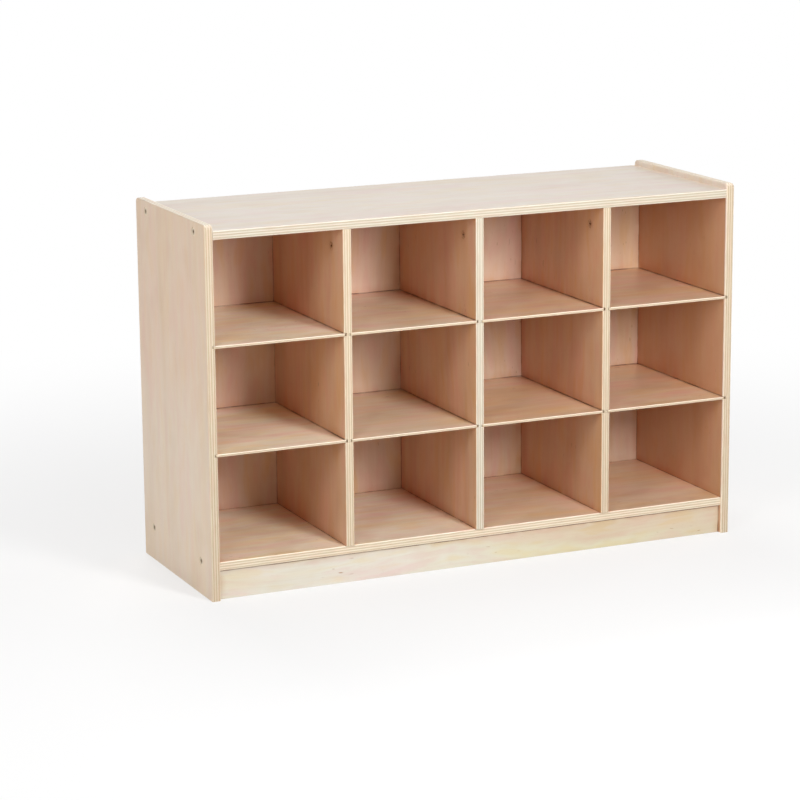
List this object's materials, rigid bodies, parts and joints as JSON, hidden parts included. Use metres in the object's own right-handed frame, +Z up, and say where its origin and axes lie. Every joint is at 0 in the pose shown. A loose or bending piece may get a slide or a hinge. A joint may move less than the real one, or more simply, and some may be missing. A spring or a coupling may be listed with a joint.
{
  "type": "tray storage cabinet",
  "caption": "Open birch plywood cabinet: a grid of compartments between lipped sides, a recessed kick board, and thin shelves that pull out of open-ended grooves.",
  "frame": {"origin": "middle of the footprint, on the floor", "axes": "+X along the width to the right as seen from the front, +Y from the front to the back, +Z up"},
  "size_m": [0.978, 0.3302, 0.6256],
  "materials": {
    "birch_panel": "clear satin lacquer over birch veneer, plies showing at the edges",
    "birch_shelf": "clear satin lacquer over thin birch plywood",
    "birch_back": "clear satin lacquer over thin birch plywood",
    "bolt_steel": "plated steel",
    "nut_steel": "plated steel",
    "cam_zinc": "dull zinc casting",
    "dowel_beech": "plain turned hardwood"
  },
  "bodies": {
    "carcass": {"side_panel_left": "birch_panel", "side_panel_right": "birch_panel", "top_panel": "birch_panel", "bottom_panel": "birch_panel", "back_panel": "birch_back", "divider_left": "birch_panel", "divider_centre": "birch_panel", "divider_right": "birch_panel", "front_kick_board": "birch_panel", "rear_kick_board": "birch_panel", "side_bolts": "bolt_steel", "barrel_nuts": "nut_steel", "corner_dowels": "dowel_beech", "divider_cam_locks": "cam_zinc", "divider_cam_bolts": "bolt_steel", "divider_screws": "bolt_steel", "divider_dowels": "dowel_beech", "kick_board_cam_locks": "cam_zinc", "kick_board_cam_bolts": "bolt_steel", "kick_board_dowels": "dowel_beech"},
    "lower_shelf_1": {"lower_shelf_1": "birch_shelf"},
    "lower_shelf_2": {"lower_shelf_2": "birch_shelf"},
    "lower_shelf_3": {"lower_shelf_3": "birch_shelf"},
    "lower_shelf_4": {"lower_shelf_4": "birch_shelf"},
    "upper_shelf_1": {"upper_shelf_1": "birch_shelf"},
    "upper_shelf_2": {"upper_shelf_2": "birch_shelf"},
    "upper_shelf_3": {"upper_shelf_3": "birch_shelf"},
    "upper_shelf_4": {"upper_shelf_4": "birch_shelf"}
  },
  "joints": [
    {"name": "lower_shelf_1_slide", "type": "slide", "parent": "carcass", "child": "lower_shelf_1", "axis": [0, -1, 0], "range_m": [0, 0.3]},
    {"name": "lower_shelf_2_slide", "type": "slide", "parent": "carcass", "child": "lower_shelf_2", "axis": [0, -1, 0], "range_m": [0, 0.3]},
    {"name": "lower_shelf_3_slide", "type": "slide", "parent": "carcass", "child": "lower_shelf_3", "axis": [0, -1, 0], "range_m": [0, 0.3]},
    {"name": "lower_shelf_4_slide", "type": "slide", "parent": "carcass", "child": "lower_shelf_4", "axis": [0, -1, 0], "range_m": [0, 0.3]},
    {"name": "upper_shelf_1_slide", "type": "slide", "parent": "carcass", "child": "upper_shelf_1", "axis": [0, -1, 0], "range_m": [0, 0.3]},
    {"name": "upper_shelf_2_slide", "type": "slide", "parent": "carcass", "child": "upper_shelf_2", "axis": [0, -1, 0], "range_m": [0, 0.3]},
    {"name": "upper_shelf_3_slide", "type": "slide", "parent": "carcass", "child": "upper_shelf_3", "axis": [0, -1, 0], "range_m": [0, 0.3]},
    {"name": "upper_shelf_4_slide", "type": "slide", "parent": "carcass", "child": "upper_shelf_4", "axis": [0, -1, 0], "range_m": [0, 0.3]}
  ]
}
